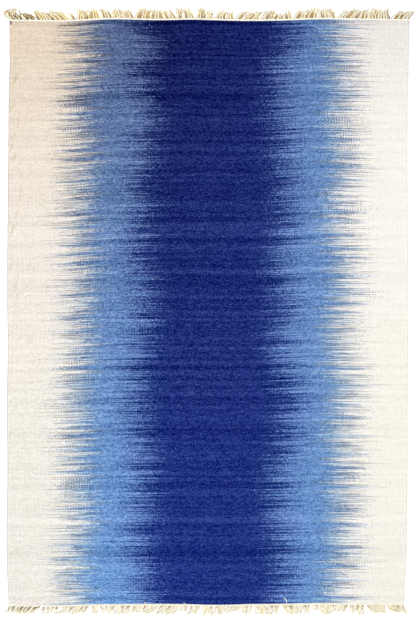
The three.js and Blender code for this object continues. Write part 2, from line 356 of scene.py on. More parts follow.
class WebPlan:
    """The web's outline and puckers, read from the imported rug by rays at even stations."""

    def __init__(self):
        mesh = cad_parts["rug_body"].data
        corners = [vertex.co for vertex in mesh.vertices]
        self.tree = BVHTree.FromPolygons(corners, [face.vertices[:] for face in mesh.polygons])
        low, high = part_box("rug_body")
        self.middle = (low + high) / 2
        first, last = low.y + CORNER_ROOM, high.y - CORNER_ROOM
        left = self.walls(0, -1, first, last, STATIONS_ALONG)
        right = self.walls(0, 1, first, last, STATIONS_ALONG)
        self.near = self.walls(1, -1, left[0], right[0], STATIONS_ACROSS)
        self.far = self.walls(1, 1, left[-1], right[-1], STATIONS_ACROSS)
        self.left = self.walls(0, -1, self.near[0], self.far[0], STATIONS_ALONG)
        self.right = self.walls(0, 1, self.near[-1], self.far[-1], STATIONS_ALONG)
        shares_across = np.linspace(0, 1, STATIONS_ACROSS)
        shares_along = np.linspace(0, 1, STATIONS_ALONG)
        self.lift = np.array([[self.top(u, v) for u in shares_across] for v in shares_along])

    def walls(self, axis, side, first, last, count):
        """Where level rays from outside meet one edge of the web, at even places along it."""
        found = []
        for place in np.linspace(first + PROBE_INSET, last - PROBE_INSET, count):
            start = Vector((place, place, PROBE_HEIGHT))
            start[axis] = 2 * side
            way = Vector((0, 0, 0))
            way[axis] = -side
            hit = self.tree.ray_cast(start, way)[0]
            if hit is None:
                raise RuntimeError("a probe missed the web's edge")
            found.append(hit[axis])
        return found

    def top(self, u, v):
        """How far the web's top face lies above the plain cloth's."""
        x, y = self.flat(u, v)
        x = between(x, self.middle.x, 2 * PROBE_INSET / WEB_WIDTH)
        y = between(y, self.middle.y, 2 * PROBE_INSET / WEB_LENGTH)
        hit = self.tree.ray_cast(Vector((x, y, 1)), Vector((0, 0, -1)))[0]
        if hit is None:
            raise RuntimeError("a probe missed the web's top")
        return hit.z - CLOTH_THICKNESS

    def flat(self, u, v):
        """Plan place of a share across, from the left, and a share along, from the near end."""
        row = np.asarray(v, float) * (STATIONS_ALONG - 1)
        column = np.asarray(u, float) * (STATIONS_ACROSS - 1)
        x = between(through(self.left, row), through(self.right, row), u)
        y = between(through(self.near, column), through(self.far, column), v)
        return x, y

    def lifted(self, u, v):
        """The smooth lift of a whole grid of shares: one row for each v, one column for each u."""
        rows = through(self.lift, np.asarray(v) * (STATIONS_ALONG - 1))
        return through(rows.T, np.asarray(u) * (STATIONS_ACROSS - 1)).T


def beside_line(x, y, line):
    """How far to the right of a line each place is, in half widths, and how near the line's ends."""
    (x0, y0), (x1, y1), half_width, _ = line
    run = np.array([x1 - x0, y1 - y0]) * MM
    length = np.hypot(*run)
    off_x, off_y = x - x0 * MM, y - y0 * MM
    share = (off_x * run[0] + off_y * run[1]) / length**2
    ends = 1 - np.clip(np.abs(2 * share - 1) / 1.25, 0, 1) ** 2.5
    return (off_x * run[1] - off_y * run[0]) / length / (half_width * MM), ends


def ripple_lift(x, y):
    """The lift of the ripples, creases and swells at plan places x and y."""
    lift = np.zeros_like(x)
    for side, at, height, length, reach in RIPPLES:
        inward = WEB_WIDTH / 2 - side * x
        place = np.clip(2 * (y - at * MM) / (length * MM), -1, 1)
        fade = np.clip(1 - inward / (reach * MM), 0, 1)
        lift += height * MM * fade * (2 - fade) * fade * np.cos(place * math.pi / 2) ** 2
    for line in CREASES + SWELLS:
        beside, ends = beside_line(x, y, line)
        lift += line[3] * MM * ends * np.exp(-(beside**2))
    return lift


def painted_crease_shade(x, y):
    """How much shade is painted at each place, on the flanks of the creases that face away from the lamp."""
    shade = np.zeros_like(x)
    highest = max(line[3] for line in CREASES)
    for line in CREASES:
        beside, ends = beside_line(x, y, line)
        shade += line[3] / highest * ends * np.exp(-(((beside + 0.4) / 0.7) ** 2))
    return shade


def weft_rise(u, v):
    """How far a pick has climbed at shares u across and v along."""
    at_right = through(WEFT_RISE, v * (len(WEFT_RISE) - 1)) * MM
    return at_right * through(RISE_SHARE, u * (len(RISE_SHARE) - 1))


def web_section(radius, cell):
    """Half the web's section: places across from the left edge, and heights of top and bottom."""
    turns = np.radians([12, 38, 64, 90])
    edge = radius * (1 - np.cos(turns))
    round_top = radius + radius * np.sin(turns)
    round_bottom = radius - radius * np.sin(turns)
    beside = np.array([1.5, 2.0, 2.6, 3.4]) * radius
    beside_top = np.array([4.35, 3.75, 3.7, 3.95]) * MM
    fine = 4 * radius + np.arange(FINE_COLUMNS) * cell / 4
    first = 4 * radius + FINE_COLUMNS * cell / 4
    coarse = np.linspace(first, WEB_WIDTH - first, round((WEB_WIDTH - 2 * first) / cell) + 1)
    inner = np.concatenate([fine, coarse, WEB_WIDTH - fine[::-1]])
    side = np.concatenate([edge, beside])
    across = np.concatenate([side, inner, WEB_WIDTH - side[::-1]])
    top = np.concatenate([round_top, beside_top])
    bottom = np.concatenate([round_bottom, np.zeros(len(beside))])
    top = np.concatenate([top, np.full(len(inner), CLOTH_THICKNESS), top[::-1]])
    bottom = np.concatenate([bottom, np.zeros(len(inner)), bottom[::-1]])
    return across / WEB_WIDTH, top, bottom


def place_object(name, data):
    """A new object that is part of the scene."""
    thing = bpy.data.objects.new(name, data)
    bpy.context.scene.collection.objects.link(thing)
    return thing


def finish_piece(name, mesh, material, slot_name, *nodes):
    """Links a mesh as a smooth piece that rides with the rug and stands for its CAD nodes."""
    mesh.materials.append(material)
    mesh.shade_smooth()
    mesh.validate()
    piece = place_object(name, mesh)
    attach(piece, "root")
    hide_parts(*nodes)
    return piece


def add_node(tree, kind, *inputs, **settings):
    """Adds a shader node, such as "Gamma" or "VectorMath ADD", with its settings, values and links.

    A kind in capitals, such as "ADD", is that operation of the Math node. The inputs come in the order
    in which the node shows them, or by name in one dict. Each is a value, a socket, or a node, which
    stands for its first output in use.
    """
    if kind.isupper():
        kind = "Math " + kind
    kind, _, operation = kind.partition(" ")
    node = tree.nodes.new("ShaderNode" + kind)
    if operation:
        node.operation = operation
    for name, value in settings.items():
        setattr(node, name, value)
    if inputs and isinstance(inputs[0], dict):
        pairs = [(node.inputs[name], value) for name, value in inputs[0].items()]
    else:
        pairs = zip([socket for socket in node.inputs if socket.enabled], inputs)
    for socket, value in pairs:
        if isinstance(value, bpy.types.Node):
            value = next(output for output in value.outputs if output.enabled)
        if isinstance(value, bpy.types.NodeSocket):
            tree.links.new(value, socket)
        else:
            socket.default_value = value
    return node


def start_material(name):
    """A new material without nodes, and the function that adds them to it."""
    material = bpy.data.materials.new(name)
    material.use_nodes = True
    material.node_tree.nodes.clear()
    return material, partial(add_node, material.node_tree)


def ikat_wool_weft(web):
    """Hand-spun wool weft, resist dyed in bundles and beaten hard over a cotton warp.

    The eye sees matt vertical ribs a warp cord apart, each a stack of short weft floats. Each pick was
    dyed at its own places, so the joins between the stripes break up into tapering streaks, and where
    neighbouring picks differ, the floats of every second rib match, as the teeth of a comb.
    """
    material, add = start_material("ikat_wool_weft")
    across, along, _ = add("SeparateXYZ", add("UVMap", uv_map="WeavePlace")).outputs

    def drifting(x, y, detail=0.0, roughness=0.5):
        """Three smooth drifts about 0, at a place counted in their lengths."""
        place = add("CombineXYZ", x, y)
        colour = add("TexNoise", place, 1.0, detail, roughness, noise_dimensions="2D").outputs["Color"]
        return add("VectorMath SUBTRACT", colour, (0.5, 0.5, 0.5))

    def summed(total, *parts, kind=""):
        """A total with parts added to it, each times its weight."""
        for part, weight in parts:
            total = add(kind + "MULTIPLY_ADD", part, weight, total)
        return total

    # Which rib and which pick shows: every second rib shows the picks between
    rib_place = add("DIVIDE", across, web.warp_pitch)
    rib = add("FLOOR", rib_place)
    odd = add("FLOORED_MODULO", rib, 2.0)
    float_place = add("MULTIPLY_ADD", odd, 0.5, add("DIVIDE", along, 2 * web.pick_pitch))
    pick = add("MULTIPLY_ADD", add("FLOOR", float_place), 2.0, add("MULTIPLY", odd, -1.0))

    # Three random numbers about 0 for each float
    tone = add("TexWhiteNoise", add("CombineXYZ", rib, pick), noise_dimensions="2D").outputs["Color"]
    tone = add("SeparateXYZ", add("VectorMath SUBTRACT", tone, (0.5, 0.5, 0.5))).outputs

    # How far this pick's joins stray here: bundles that were tied together (2.2 mm of picks), batches
    # of bundles (14 mm), seeping (2 mm by 125 mm) and leaks (one pick by 90 mm) along each pick, and
    # the difference between the two ways of the shuttle (44 mm), seldom further than the ties let it,
    # on top of a slow drift (178 mm). The first channel is for the outer join, the second for the
    # inner, and each pick has its own place in what is one pick wide.
    side_seed = add("MULTIPLY", add("GREATER_THAN", across, 0.0), 41.0)
    drift = drifting(add("MULTIPLY", pick, 0.0045), side_seed, 1.0)
    shuttle = drifting(add("MULTIPLY", pick, 0.018), add("MULTIPLY_ADD", odd, 17.0, side_seed))
    bundle = drifting(add("MULTIPLY", pick, 0.36), side_seed)
    batch = drifting(add("MULTIPLY", pick, 0.058), side_seed)
    seep = drifting(add("DIVIDE", across, 125 * MM), add("MULTIPLY", pick, 0.4), 1.0)
    leak = drifting(add("DIVIDE", across, 90 * MM), add("MULTIPLY", pick, 7.31))
    group = add("VectorMath MULTIPLY", batch, (3.0,) * 3)
    stray = summed(
        group,
        (shuttle, (1.7,) * 3),
        (leak, (2.3,) * 3),
        (seep, (4.6,) * 3),
        (bundle, (5.4,) * 3),
        kind="VectorMath ",
    )
    slow = add("VectorMath MULTIPLY", drift, (75 * MM,) * 3)
    cubed = add("VectorMath MULTIPLY", add("VectorMath MULTIPLY", bundle, bundle), bundle)
    escape = add("VectorMath MULTIPLY_ADD", cubed, (1.5, 0.6, 0), slow)
    stray, group, slow, escape = (add("SeparateXYZ", part).outputs for part in (stray, group, slow, escape))

    def join(at, place, shift, half_width):
        """1 inside a join, falling to 0 outside."""
        centre = add("ADD", shift, at)
        inside = add("SUBTRACT", centre, half_width)
        outside = add("ADD", centre, half_width)
        return add("MapRange", place, inside, outside, 1.0, 0.0, interpolation_type="SMOOTHSTEP")

    def dip(channel, at, most, place, turned, wicked):
        """The dip that each float shows at a join, and the same as its neighbours share it."""
        shift = add("MULTIPLY_ADD", add("TANH", stray[channel]), most, escape[channel])
        shared = add("MULTIPLY_ADD", add("TANH", group[channel]), most, slow[channel])
        float_at = add("MULTIPLY_ADD", tone[2], turned * web.turn, place)
        return join(at, float_at, shift, wicked * web.wick), join(at, place, shared, web.haze)

    # The dip that each float shows, softer at the inner joins, which were dipped twice, and the tint
    # around it: wet neighbours share their dye, so the tint spreads evenly over many picks, and stays
    # behind the dip where it is thin. The stripes widen a little towards the near end.
    from_middle = add("ABSOLUTE", add("SUBTRACT", across, BLUES_MIDDLE))
    near_end = add("MULTIPLY_ADD", along, -3.0, -0.6, use_clamp=True)
    widened = add("MULTIPLY_ADD", near_end, -NEAR_WIDENING, from_middle)
    from_deep_middle = add("ABSOLUTE", add("SUBTRACT", across, DEEP_BLUE_MIDDLE))
    once, once_shared = dip(0, web.outer_join, web.outer_stray, widened, 0.7, 0.75)
    twice, twice_shared = dip(1, web.inner_join, web.inner_stray, from_deep_middle, 1.25, 1.3)
    once_tinted = add("POWER", once_shared, 1.4)
    once_tinted = add("MULTIPLY_ADD", add("SUBTRACT", once, once_shared), 0.12, once_tinted)
    twice_tinted = add("MULTIPLY_ADD", add("SUBTRACT", twice, twice_shared), 0.2, twice_shared)

    # Painted shade where the light falls off towards the far left: the undyed wool is painted browner there,
    # and the dyes darker and greyer
    far = add("MULTIPLY_ADD", along, 0.6, 0.5, use_clamp=True)
    left = add("MULTIPLY_ADD", across, -0.9, 0.575, use_clamp=True)
    painted_dim_shade = add("MULTIPLY_ADD", add("POWER", far, 1.3), 1.3, -0.28)
    painted_dim_shade = add("MULTIPLY", painted_dim_shade, left)
    painted_warm_shade = add("MULTIPLY", add("POWER", far, 2.6), left)
    dyed = []
    for name, share in (("ivory", painted_warm_shade), ("mid_blue", painted_dim_shade), ("deep_blue", painted_dim_shade)):
        colours = [(*getattr(web, end + name), 1) for end in ("", "far_")]
        dyed.append(add("Gamma", add("Mix", share, *colours, **PAST_ENDS), 1 / EYE_GAMMA))
    ivory, mid_blue, deep_blue = dyed
    seen = add("Mix", once_tinted, ivory, mid_blue, **PAST_ENDS)
    seen = add("Mix", twice_tinted, seen, deep_blue, **PAST_ENDS)

    # How much lighter each float is than the tint, in steps that look even to the eye: its own dye,
    # uneven take-up in streaks (2.7 mm by 40 mm), abrash from one dye lot to the next (15 mm), and the
    # yarn's loft, with painted shade where the light falls off: darker towards both ends, and on the undyed
    # wool darker to the left
    take_up = drifting(add("DIVIDE", across, 40 * MM), add("MULTIPLY_ADD", pick, 0.3, 57.0), 1.0)
    abrash = drifting(add("MULTIPLY", pick, 0.055), 3.7, 2.0, 0.55)
    take_up, abrash = (add("SeparateXYZ", part) for part in (take_up, abrash))
    from_ends = add("MULTIPLY", add("ABSOLUTE", along), 2 / WEB_LENGTH)
    undyed = add("SUBTRACT", 1.0, once_shared)
    lighter = summed(
        0.0,
        (add("SUBTRACT", once_tinted, once), 0.41),
        (add("SUBTRACT", twice_tinted, twice), 0.34),
        (
            summed(0.0, (abrash, 0.33), (take_up, 0.22), (tone[0], 0.34)),
            summed(0.2, (left, 0.12), (twice_shared, -0.14), (once_shared, 0.5)),
        ),
        # Painted shade: darker towards both ends, and on the undyed wool darker to the left
        (add("POWER", from_ends, 3.0), -0.022),
        (undyed, add("MULTIPLY_ADD", across, 0.014, -0.008)),
    )

    # The undyed fleece: creamier from the middle to the near end and greener to the right, with painted
    # shade that makes it duller at the far right, where the light falls off
    near_half = add("MULTIPLY_ADD", along, -4.0, 0.3, use_clamp=True)
    to_right = add("MULTIPLY_ADD", across, 1.0, 0.2)
    far_end = add("MULTIPLY_ADD", along, 3.6, -2.2, use_clamp=True)
    far_right_painted_shade = add("MULTIPLY", far_end, add("MULTIPLY", across, 2.0, use_clamp=True))

    # Painted shadow on the far left corner, where it was turned under, and painted shade on the creases'
    # flanks away from the lamp; a thin first tint on the wool is violet, more so to the right
    x, y, half_width, half_length = (size * MM for size in CORNER_PAINTED_SHADOW)
    beside = add("DIVIDE", add("SUBTRACT", across, x), half_width)
    beyond = add("DIVIDE", add("SUBTRACT", along, y), half_length)
    off = add("VectorMath LENGTH", add("CombineXYZ", beside, beyond))
    crease_painted_shade = add("Attribute", attribute_name="crease_painted_shade").outputs["Fac"]
    thin = add("MULTIPLY", once_shared, add("MULTIPLY", undyed, undyed))
    seen = summed(
        seen,
        (add("MULTIPLY", near_half, undyed), (-0.008, -0.007, -0.019)),
        (add("MULTIPLY", to_right, undyed), (0, 0.009, 0)),
        (add("MULTIPLY", far_right_painted_shade, undyed), (-0.03, -0.036, -0.02)),
        # Painted shadow on the far left corner
        (add("SUBTRACT", 1.3, off, use_clamp=True), (-0.42, -0.43, -0.32)),
        # Painted shade on the creases' flanks away from the lamp
        (crease_painted_shade, (-0.075, -0.085, -0.125)),
        (add("MULTIPLY", thin, add("MULTIPLY_ADD", across, 0.8, 0.7)), (0.045, -0.04, 0.05)),
        (lighter, (1, 1, 1)),
        kind="VectorMath ",
    )
    seen = add("VectorMath MAXIMUM", seen, (0.03, 0.03, 0.03))
    seen = add("VectorMath MINIMUM", seen, add("VectorMath ADD", ivory, (0.02, 0.02, 0.02)))

    # The last picks at each end are of the heading's cotton
    at_end = add("GREATER_THAN", add("ABSOLUTE", along), WEB_LENGTH / 2 - web.end_picks)
    colour = add("Mix", at_end, add("Gamma", seen, EYE_GAMMA), (*web.end_cotton, 1), **PAST_ENDS)

    def pillow(place, power):
        """1 at the middle of a float and 0 at its edges."""
        off = add("ABSOLUTE", add("MULTIPLY_ADD", add("FRACT", place), 2.0, -1.0))
        return add("SUBTRACT", 1.0, add("POWER", off, power))

    # The floats' relief, with yarn that is thick and thin by turns (one pick by 9 mm)
    yarn = drifting(add("DIVIDE", across, 9 * MM), add("MULTIPLY", pick, 5.37))
    height = add("MULTIPLY", pillow(rib_place, 2.4), pillow(float_place, 3.0))
    height = add("MULTIPLY_ADD", add("SeparateXYZ", yarn).outputs[1], 0.25, height)
    # Painted shade: the colour darkens in the crevices where the floats' relief is low
    crevice_painted_shade = add("MULTIPLY_ADD", add("MINIMUM", height, 0.5), 0.47, 0.735)
    surface = add("BsdfPrincipled", {
        "Base Color": add("VectorMath MULTIPLY", colour, crevice_painted_shade),
        "Normal": add("Bump", {"Height": height, "Distance": web.relief, "Strength": 0.8}),
        "Roughness": 0.95,
        "Sheen Weight": 0.01,
        "Sheen Roughness": 0.5,
        "Specular IOR Level": 0.03,
    })
    add("OutputMaterial", surface)
    return material


def cotton_warp_yarn(fringe):
    """Unbleached cotton warp yarn, spun hard and plied.

    The eye sees matt cream cords with fine slanting plies, paler on the outer fibres, with ochre and umber
    shade painted where the yarns press together, on some locks and on lower yarns between the locks, and
    no two ends quite the same tone.
    """
    material, add = start_material("cotton_warp_yarn")
    place = add("Attribute", attribute_name="yarn_place").outputs["Vector"]
    run, level, upright = add("SeparateXYZ", place).outputs
    tone = add("Attribute", attribute_name="yarn_tone_and_shade").outputs["Vector"]
    yellowed, shade, deep_shade = add("SeparateXYZ", tone).outputs

    # Slanting fibres: a wave that runs round the yarn as it goes along, 1.4 mm a turn, and fibres of
    # 1.1 mm, both coarser than the real ones so that they show
    turn = add("MULTIPLY", run, 2 * math.pi / (1.4 * MM))
    wave = add("MULTIPLY", add("COSINE", turn), upright)
    wave = add("MULTIPLY_ADD", add("SINE", turn), level, wave)
    fibres = add("TexNoise", place, 0.9 / MM, 2.0)
    # Painted shade: ochre in the folds, on some locks and on the lower yarns, and umber deeper down
    shade = add("MULTIPLY_ADD", add("SUBTRACT", fibres, 0.5), 0.25, shade)
    colour = (*fringe.cream, 1)
    for share, deeper in ((yellowed, fringe.straw), (shade, fringe.ochre_shade), (deep_shade, fringe.umber_shade)):
        colour = add("Mix", share, colour, (*deeper, 1), data_type="RGBA")
    height = add("MULTIPLY_ADD", wave, 0.5, fibres)
    surface = add("BsdfPrincipled", {
        "Base Color": colour,
        "Normal": add("Bump", {"Height": height, "Distance": 0.25 * MM, "Strength": 0.5}),
        "Roughness": 0.9,
        "Sheen Weight": 0.45,
        "Sheen Roughness": 0.4,
        "Specular IOR Level": 0.15,
        "Subsurface Weight": 0.5,
        "Subsurface Scale": 1.2 * MM,
        "Subsurface Radius": (1.0, 1.0, 0.9),
    })
    add("OutputMaterial", surface)
    return material


def tube_faces(first, rings, sides):
    """The faces of a tube whose points come ring by ring."""
    faces = []
    for ring in range(first, first + (rings - 1) * sides, sides):
        for j in range(sides):
            a, b = ring + j, ring + (j + 1) % sides
            faces.append((a, a + sides, b + sides, b))
    return faces


def level_beside(path):
    """Level unit vectors square to a path."""
    level = np.cross(np.gradient(path, axis=0), (0, 0, 1))
    return level / np.linalg.norm(level, axis=1)[:, None]


def lengths_along(path):
    """How far along a path each of its points lies."""
    return np.concatenate([[0], np.cumsum(np.linalg.norm(np.diff(path, axis=0), axis=1))])


class YarnBuilder:
    """Collects tubes of yarn as one mesh, with each point's place, tone and painted shade on its yarn."""

    def __init__(self):
        self.points = []
        self.faces = []
        self.places = []
        self.tones = []
        self.count = 0

    def add(self, path, radii, sides, tone, shade=0.0, deep_shade=0.0, axis=None, fold_shade=0.0):
        """A closed tube of yarn along a path; axis is the line of the lock that it is twisted on."""
        path = np.asarray(path, float)
        rings = len(path)
        way = np.gradient(path, axis=0)
        way /= np.linalg.norm(way, axis=1)[:, None]
        level = level_beside(path)
        upright = np.cross(level, way)
        angles = np.arange(sides) * 2 * math.pi / sides
        level_share = np.cos(angles)[None, :, None]
        upright_share = np.sin(angles)[None, :, None]
        out = level[:, None] * level_share + upright[:, None] * upright_share * 0.92
        radii = np.asarray(radii, float)[:, None, None]
        skin = path[:, None] + out * radii
        run = lengths_along(path)
        # Painted shade: the side of each ply that faces its lock's line takes ochre, as in the folds where
        # plies press together
        fold = np.zeros((rings, sides))
        if axis is not None:
            outward = path - axis
            outward /= np.maximum(np.linalg.norm(outward, axis=1), 1e-6)[:, None]
            fold = fold_shade * (np.clip(-(out * outward[:, None]).sum(-1), -0.4, 1) + 0.4)
        place = np.stack(np.broadcast_arrays(run[:, None], np.cos(angles), np.sin(angles)), -1)
        fold += np.reshape(shade, (-1, 1))
        tones = np.stack(np.broadcast_arrays(tone, fold, np.reshape(deep_shade, (-1, 1))), -1)
        first = self.count
        self.points += [skin.reshape(-1, 3), path[:1], path[-1:]]
        self.places += [place.reshape(-1, 3), place[0, :1], place[-1, :1]]
        self.tones += [tones.reshape(-1, 3), tones[0, :1], tones[-1, :1]]
        start = first + rings * sides
        self.faces += tube_faces(first, rings, sides)
        last = first + (rings - 1) * sides
        for j in range(sides):
            following = (j + 1) % sides
            self.faces.append((start, first + j, first + following))
            self.faces.append((start + 1, last + following, last + j))
        self.count = start + 2

    def mesh(self, name):
        mesh = bpy.data.meshes.new(name)
        mesh.from_pydata(np.concatenate(self.points).tolist(), [], self.faces)
        for label, values in (("yarn_place", self.places), ("yarn_tone_and_shade", self.tones)):
            layer = mesh.attributes.new(label, "FLOAT_VECTOR", "POINT")
            layer.data.foreach_set("vector", np.concatenate(values).astype(np.float32).ravel())
        return mesh


def scatter(index, turn):
    """An even scatter from -1 to 1, the same for the same lock."""
    share = (index + turn) * GOLDEN_SHARE * turn
    return 2 * (share - math.floor(share)) - 1


def fringe_layout(tufts):
    """Each lock's tuft, root and reach, and its swing over the full reach, as in the frame."""
    starts = [row[0] * MM for row in tufts] + [WEB_WIDTH / 2]
    roots = np.linspace(-WEB_WIDTH / 2 + CORNER_INSET, WEB_WIDTH / 2 - CORNER_INSET, LOCKS_PER_END)
    members = [max(i for i in range(len(tufts)) if starts[i] <= root) for root in roots]
    reaches = []
    aims = []
    for index, (root, tuft) in enumerate(zip(roots, members)):
        _, lean, reach = tufts[tuft]
        middle = (starts[tuft] + starts[tuft + 1]) / 2
        reaches.append(reach * MM * (1 + LENGTH_SPREAD * scatter(index, 3)))
        aims.append(between(root, middle, GATHER_SHARE) + FULL_REACH * math.tan(math.radians(lean)))
    for _ in range(SPREAD_PASSES):
        for index in range(1, LOCKS_PER_END):
            missing = TIP_ROOM - (aims[index] - aims[index - 1])
            if missing > 0:
                aims[index - 1] -= missing / 2
                aims[index] += missing / 2
    return zip(members, roots, reaches, np.array(aims) - roots)


def twine_heading(yarn, plan, end, yellowed):
    """The heading: two cotton strands twined around the warp ends, one half turn for each lock."""
    half_turns = LOCKS_PER_END
    steps = half_turns * 5
    u = np.linspace(0, 1, steps + 1)
    x, y = plan.flat(u, np.full(len(u), (end + 1) / 2))
    y = y + end * (PIECE_GAP + HEADING_WIDTH / 2 - HEADING_GRIP)
    angle = u * half_turns * math.pi
    wander = 0.18 * MM * np.sin(u * 190 + 1.3 * np.sin(u * 47))
    for phase in (0, math.pi):
        side = STRAND_SWING[0] * np.cos(angle + phase) + wander
        up = STRAND_HEIGHT + STRAND_SWING[1] * np.sin(angle + phase)
        path = np.stack([x, y + side, up], 1)
        radii = STRAND_RADIUS * (1 + 0.05 * np.sin(u * 611 + phase))
        yarn.add(path, radii, 8, yellowed)


def along_path(path, share):
    """The place at a share of the way along a path's own stations."""
    return np.array([np.interp(share, np.linspace(0, 1, len(path)), path[:, k]) for k in range(3)])


def lay_hair(yarn, axis, end, yellowed, dice, starts, lengths):
    """One loose fibre that leaves a lock somewhere along its line."""
    at = along_path(axis, dice.uniform(*starts))
    heading = np.array([dice.normal(0, 0.8), end * dice.uniform(0.1, 1), dice.uniform(-0.2, 0.25)])
    bend = np.array([dice.normal(0, 0.5), dice.normal(0, 0.5), -0.15])
    steps = np.linspace(0, 1, 5)[:, None]
    hair = at + (heading * steps + bend * steps**2) * dice.uniform(*lengths) * MM
    hair[:, 2] = np.maximum(hair[:, 2], 0.2 * MM)
    yarn.add(hair, np.array([0.24, 0.22, 0.2, 0.16, 0.1]) * MM, 3, yellowed)


def twist_locks(yarn, plan, end, tufts, fringe, look, dice):
    """The fringe: each lock's plies twisted on its line, opening at the tip into loose fibres."""
    stations = np.concatenate([[-0.12], np.linspace(0, 1, 19)])
    floss = np.random.default_rng(FLOSS_SEED)
    before = None
    tuft_before = None
    dark = False
    for index, (tuft, root, reach, swing) in enumerate(fringe_layout(tufts)):
        across = root / WEB_WIDTH + 0.5
        corner = int(root > 0)
        reach *= between(*look["reach"], across)
        reach *= np.clip(dice.normal(0.99, 0.07), 0.84, 1.1)
        x_root, y_edge = plan.flat(across, (end + 1) / 2)
        start = y_edge + end * (PIECE_GAP + HEADING_WIDTH - HEADING_GRIP)
        share = np.maximum(stations, 0) * reach / FULL_REACH
        curl = dice.normal(0, 1.1) * MM
        bow = curl * np.sin(stations * math.pi * dice.uniform(0.8, 1.9))
        waves = CRINKLE_WAVES + WAVES_SPREAD * scatter(index, 7)
        bow = bow + CRINKLE * scatter(index, 5) * np.sin(stations * math.pi * waves)
        near_tip = np.clip((stations - TIP_START) / (1 - TIP_START), 0, 1) ** 2
        hook = dice.choice([0, 0, 0, -1, 1]) * dice.uniform(1.5, 3.5) * MM
        x = x_root + swing * share**BEND_POWER + bow + hook * near_tip
        y = start + end * reach * (stations - abs(hook) / HOOK_WIDTH * near_tip)
        drop = np.clip(stations / 0.3, 0, 1)
        tip_lift = max(dice.normal(0.2, 0.7), 0) * MM * near_tip
        z = between(ROOT_HEIGHT, LOCK_HEIGHT, drop * drop * (3 - 2 * drop)) + tip_lift
        axis = np.stack([x, y, z], 1)
        level = level_beside(axis)
        twist = lengths_along(axis) * 2 * math.pi / (fringe.twist_pitch * dice.uniform(0.85, 1.2))
        first_turn = dice.uniform(0, 2 * math.pi)
        yellowed = between(*look["yellowed"], dice.uniform(0, 1))
        yellowed += between(*look["yellower"], across)
        at_corner = np.interp(abs(root), CORNERS, (0, 1))
        # Some locks, never two side by side, are thinner and painted with ochre shade, and at the corners
        # with umber shade too, fading along them
        dark = not dark and dice.uniform(0, 1) < between(look["dark_locks"], look["corner_locks"], at_corner)
        shade = dice.uniform(0.6, 1) if dark else dice.uniform(0, 0.04)
        fading = np.clip(np.maximum(stations, 0) / look["dark_reach"], 0, 1) ** 2
        shade = shade * (1 - between(0.9, 0.6, look["dark_reach"]) * fading)
        deep_shade = dark * at_corner * look["dark_depth"][corner] * dice.uniform(0.3, 1)
        deep_shade = deep_shade * (1 - fading)
        width = look["dark_width"] if dark else 1.0
        for ply in range(fringe.plies):
            turn = first_turn + ply * 2 * math.pi / fringe.plies + twist
            spread = PLY_SPREAD * width * (1 + look["slack"]) + near_tip * dice.uniform(0.1, 1.1) * MM
            stray = near_tip * dice.normal(0, 0.9) * MM
            path = axis + level * (spread * np.cos(turn) + stray)[:, None]
            radii = fringe.ply_radius * width * (1 - 0.22 * np.maximum(stations, 0))
            radii *= 1 - 0.6 * look["slack"]
            radii *= dice.uniform(0.92, 1.08)
            radii[-1] *= 0.5
            path[:, 2] = np.maximum(axis[:, 2] + 0.7 * spread * np.sin(turn), radii * 0.95)
            path[-1] = between(path[-2], path[-1], dice.uniform(0.3, 1))
            yarn.add(path, radii, 7, yellowed, shade + dice.uniform(0, 0.05), deep_shade, axis, look["fold_shade"])
        for _ in range(fringe.hairs):
            lay_hair(yarn, axis, end, yellowed, dice, *TIP_HAIRS)
        for _ in range(fringe.floss):
            lay_hair(yarn, axis, end, yellowed, floss, *FINE_HAIRS)

        # Lower yarns lie on the floor between the locks of one tuft, painted with ochre and umber shade that
        # is darkest at their roots, to stand for the shade between the locks
        if tuft == tuft_before:
            reached = between(dice.uniform(*look["lower_reach"]), 0.95, at_corner)
            lower = between(before, axis, dice.uniform(0.4, 0.6))
            lower = np.array([along_path(lower, step * reached) for step in np.linspace(0, 1, 9)])
            fade = np.linspace(1, 0, 9)
            radii = dice.uniform(1.45, 1.85) * MM * (0.7 + 0.3 * fade)
            lower[:, 2] = radii
            deepest = between(1.0, look["corner_depth"][corner], at_corner)
            fading = between(look["fading"], 1.0, at_corner)
            deep_shade = dice.uniform(0, 1) ** between(1.5, 0.6, at_corner) * deepest * fade**fading
            shade = between(*look["lower_shade"], dice.uniform(0, 1) ** 0.6)
            yarn.add(lower, radii, 5, yellowed, shade, deep_shade)
        before = axis
        tuft_before = tuft


def tangle_yarns(yarn, rows):
    """Two-ply yarns that lie tangled over the locks of a corner, each in one bend."""
    steps = np.linspace(0, 1, 12)[:, None]
    for index, (root, way, tip, half_width, ochre_shade, dark) in enumerate(rows):
        root, way, tip = (np.array([*place]) * MM for place in ((*root, 3), (*way, 6), (*tip, 3)))
        axis = between(between(root, way, steps), between(way, tip, steps), steps)
        aside = level_beside(axis)
        radii = half_width * MM * (0.62 - 0.16 * steps[:, 0])
        for phase in (0, math.pi):
            turn = steps * 9 + index + phase
            path = axis + aside * radii[:, None] * 0.75 * np.cos(turn)
            path[:, 2] += radii * 0.6 * np.sin(turn[:, 0])
            yarn.add(path, radii, 6, 0.4, ochre_shade, dark * (1 - 0.5 * steps**2))


def lay_threads(yarn, threads):
    """Loose threads that lie on the web in a slight bow, each frayed in two at its tip."""
    steps = np.linspace(0, 1, 7)
    for root, tip in threads:
        root = np.array([*root, 4.2]) * MM
        tip = np.array([*tip, 4.9]) * MM
        aside = np.array([tip[1] - root[1], root[0] - tip[0], 0])
        for side in (-1, 1):
            bow = np.sin(steps * math.pi) * 0.12 + side * 0.1 * steps**2
            path = between(root, tip, steps[:, None]) + aside * bow[:, None]
            path[:, 2] += 0.9 * MM * np.sin(steps * math.pi)
            yarn.add(path, (0.95 - 0.35 * steps) * MM, 6, 0.05)


